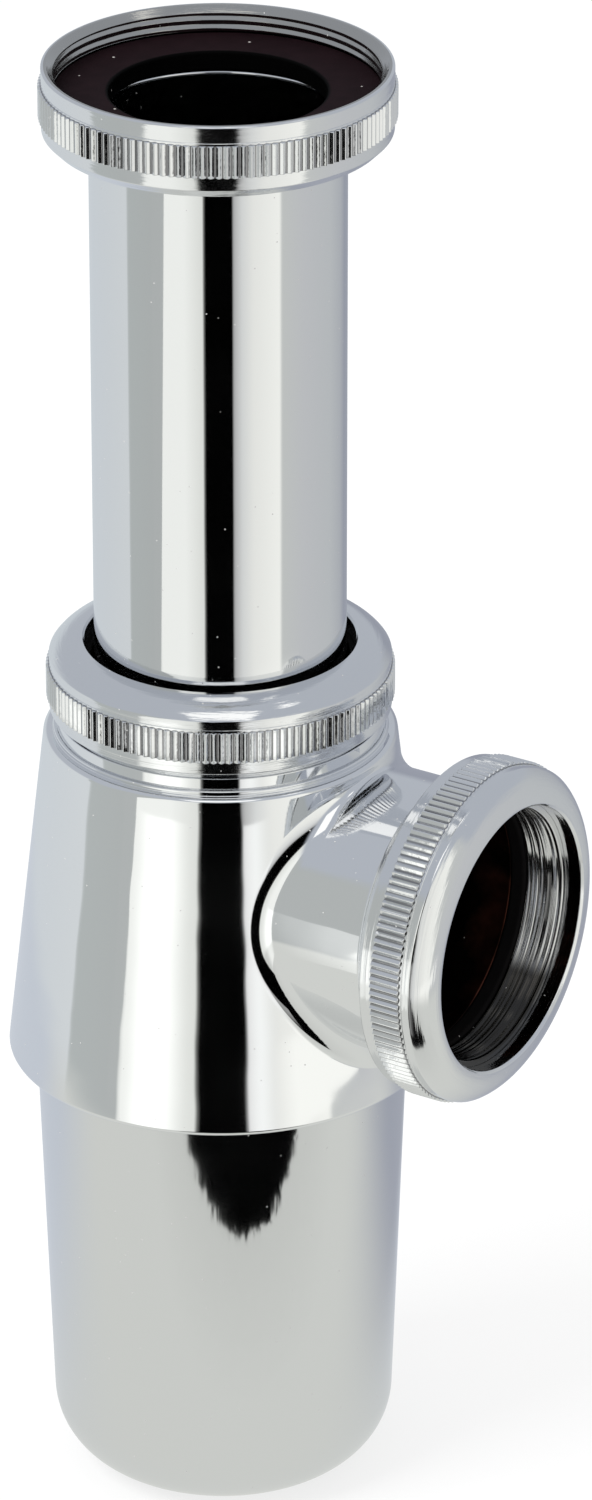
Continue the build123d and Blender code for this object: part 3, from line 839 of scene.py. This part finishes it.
# Floor: white with a soft shadow for the camera. In reflections it is pale near the trap, takes the tent's colours
# towards the tent, and holds the dark tongue, between two side edges, the right one drawing in with the distance. The
# tongue's near edge is a parabola, start + right x (slant + bow x right), slightly ragged, and the floor is a little
# dimmer along its margin. Behind right the floor is dimmer too.
def floorMaterial():
    material, add = newMaterial("floor")
    place, ahead, right, share = studioPlace(add)
    distance = add("VectorMath", {0: place}, operation="LENGTH").outputs["Value"]
    ragged = noise(add, place, floorLook["raggedScale"], floorLook["raggedDetail"])
    shift = maths(add, "SUBTRACT", ragged, 0.5)
    bow = maths(add, "MULTIPLY_ADD", right, floorLook["bow"] / mm, floorLook["slant"])
    start = maths(add, "MULTIPLY_ADD", right, bow, floorLook["start"] * mm)
    start = maths(add, "MULTIPLY_ADD", shift, floorLook["ragged"] * mm, start)
    past = maths(add, "SUBTRACT", ahead, start)
    rightStart = (floorLook["right"] + floorLook["narrow"] * floorLook["rightAhead"]) * mm
    rightEdge = maths(add, "MULTIPLY_ADD", ahead, -floorLook["narrow"], rightStart)
    fromRight = maths(add, "SUBTRACT", rightEdge, right)
    fromLeft = maths(add, "ADD", right, floorLook["left"] * mm)
    fromSide = maths(add, "MINIMUM", fromRight, fromLeft)
    inTongue = overSpan(add, past, floorLook["edgeSpan"])
    dark = maths(add, "MULTIPLY", inTongue, overSpan(add, fromSide, floorLook["sideSpan"]))
    behind = mixed(add, overSpan(add, right, floorLook["asideSpan"]), floorLook["far"], floorLook["dim"])
    near = mixed(add, overSpan(add, ahead, floorLook["backSpan"]), floorLook["pale"], behind)
    pale = mixed(add, overSpan(add, distance, floorLook["blend"]), near, studioRing(add, share))
    toTongue = maths(add, "MINIMUM", past, fromSide)
    dimmed = ramped(add, toTongue, -floorLook["marginWidth"] * mm, 0.0, False, 1.0, 1 - floorLook["marginDim"])
    pale = add("VectorMath", {0: pale, "Scale": dimmed}, operation="SCALE").outputs[0]
    mirrored = glowing(add, mixed(add, dark, pale, black))
    lit = add("BsdfDiffuse", {"Color": opaque(floorLook["lit"])}).outputs[0]
    shown = add("MixShader", {0: floorLook["shadowShare"], 1: glowing(add, white), 2: lit}).outputs[0]
    add("OutputMaterial", {"Surface": mirrorPick(add, shown, mirrored)})
    return material


# Piece of the studio. All but the floor are seen only in reflections.
def stagePlane(name, points, faces, material, mirroredOnly=True):
    item = meshObject(name, points, faces, [material])
    if mirroredOnly:
        item.visible_camera = False
        item.visible_shadow = False
        item.visible_diffuse = False


floorZ = cadLow.z - floorLook["gap"]
half = floorLook["half"]
floorCorners = [(-half, -half, floorZ), (half, -half, floorZ), (half, half, floorZ), (-half, half, floorZ)]
stagePlane("floor", floorCorners, [(0, 1, 2, 3)], floorMaterial(), mirroredOnly=False)
tentTurn = (np.arange(tentLook["steps"]) * fullTurn / tentLook["steps"])[:, None]
tentArc = tentLook["radius"] * mm * (np.cos(tentTurn) * outletWay + np.sin(tentTurn) * sideWay)
tentPoints = np.concatenate([tentArc + upWay * edge for edge in (floorZ, tentLook["top"] * mm)])
stagePlane("tent", tentPoints.tolist(), gridFaces(2, tentLook["steps"], False, True).tolist(), tentMaterial())

# Glow bands close by: at their height they add to the panels' light for the body alone, one on the left panel and one
# beside the dark gap. The strength rises over the first two angles and falls over the last two.
glowBands = {"radius": 80.0, "low": 40.0, "high": 88.0, "steps": 25, "colour": (1, 1, 0.97),
             "bands": [((313.0, 325.0, 330.0, 345.0), 0.29), ((11.1, 11.7, 14.0, 27.0), 0.36)]}


def glowMaterial(name, angles, strength):
    material, add = newMaterial(name)
    share = studioPlace(add)[3]
    first, second, third, last = (angle / 360 for angle in angles)
    rising = ramped(add, share, first, second, True)
    falling = ramped(add, share, last, third, True)
    power = maths(add, "MULTIPLY", maths(add, "MULTIPLY", rising, falling), strength)
    clear = add("BsdfTransparent").outputs[0]
    both = add("AddShader", {0: glowing(add, glowBands["colour"], power), 1: clear})
    add("OutputMaterial", {"Surface": both.outputs[0]})
    return material


for index, (angles, strength) in enumerate(glowBands["bands"]):
    turn = np.radians(np.linspace(angles[0], angles[-1], glowBands["steps"]))[:, None]
    arc = glowBands["radius"] * mm * (np.cos(turn) * frontWay + np.sin(turn) * rightWay)
    bandPoints = np.concatenate([arc + upWay * glowBands[edge] * mm for edge in ("low", "high")])
    bandName = "glowBand%d" % index
    stagePlane(bandName, bandPoints.tolist(), gridFaces(2, glowBands["steps"], False, False).tolist(),
               glowMaterial(bandName, angles, strength))

# Lamp panels overhead: each spans shares of the rise, ahead of the axis and to its right.
lampPanels = {"low": 117.0, "rise": 500.0, "glow": 1.2, "colour": (1, 1, 0.98),
              "spans": [((0.39, 0.885), (-0.35, 0.35)), ((-0.20, -0.03), (-0.11, 0.11)), ((0.0, 0.18), (0.41, 0.58))]}
panelMaterial, add = newMaterial("lampPanel")
add("OutputMaterial", {"Surface": glowing(add, lampPanels["colour"], lampPanels["glow"])})
for index, ((near, far), (left, right)) in enumerate(lampPanels["spans"]):
    shares = np.array([(near, left), (far, left), (far, right), (near, right)])
    corners = lampPanels["rise"] * mm * (shares[:, :1] * frontWay + shares[:, 1:] * rightWay)
    corners[:, 2] = (lampPanels["low"] + lampPanels["rise"]) * mm
    stagePlane("lampPanel%d" % index, corners.tolist(), [(0, 1, 2, 3)], panelMaterial)

# Sky: white for the camera, blue grey in reflections.
world = bpy.data.worlds.new("studioSky")
add = freshNodes(world)
skyMirrored = add("Background", {"Color": opaque(studio["sky"]), "Strength": 1.0}).outputs[0]
skyWhite = add("Background", {"Color": opaque(white), "Strength": 1.0}).outputs[0]
add("OutputWorld", {"Surface": mirrorPick(add, skyWhite, skyMirrored)})
bpy.context.scene.world = world


def aimAt(item, place, target):
    item.location = place
    item.rotation_euler = (Vector(target) - Vector(place)).to_track_quat("-Z", "Y").to_euler()


# Soft key light from the upper left of the camera, aimed at the middle of the trap.
keyLight = {"place": (-0.35, -0.75, 1.0), "aim": (0, 0, 0.1), "size": 0.6, "power": 9.0}
lamp = bpy.data.lights.new("keyLight", "AREA")
lamp.size = keyLight["size"]
lamp.energy = keyLight["power"]
lampObject = linked("keyLight", lamp)
lampObject.visible_glossy = False
aimAt(lampObject, keyLight["place"], keyLight["aim"])

# Camera as fitted to the photo: it looks at the trap's axis from the front right, a little aside of it.
view = {"rise": 25.48, "distance": 1.0194, "height": 0.101, "aside": 0.00958, "lens": 192.0, "sensor": 36.0,
        "clipEnd": 20.0}
riseAngle = np.radians(view["rise"])
back = Vector(frontWay * np.cos(riseAngle) + upWay * np.sin(riseAngle))
centre = Vector(upWay * view["height"])
camera = bpy.data.cameras.new("camera")
camera.sensor_fit = "VERTICAL"
camera.sensor_height = view["sensor"]
camera.lens = view["lens"]
camera.clip_end = view["clipEnd"]
cameraObject = linked("camera", camera)
aimAt(cameraObject, centre + back * view["distance"], centre + Vector(rightWay) * view["aside"])
bpy.context.scene.camera = cameraObject
bpy.context.scene.view_settings.view_transform = "Standard"
print("studio and camera made")
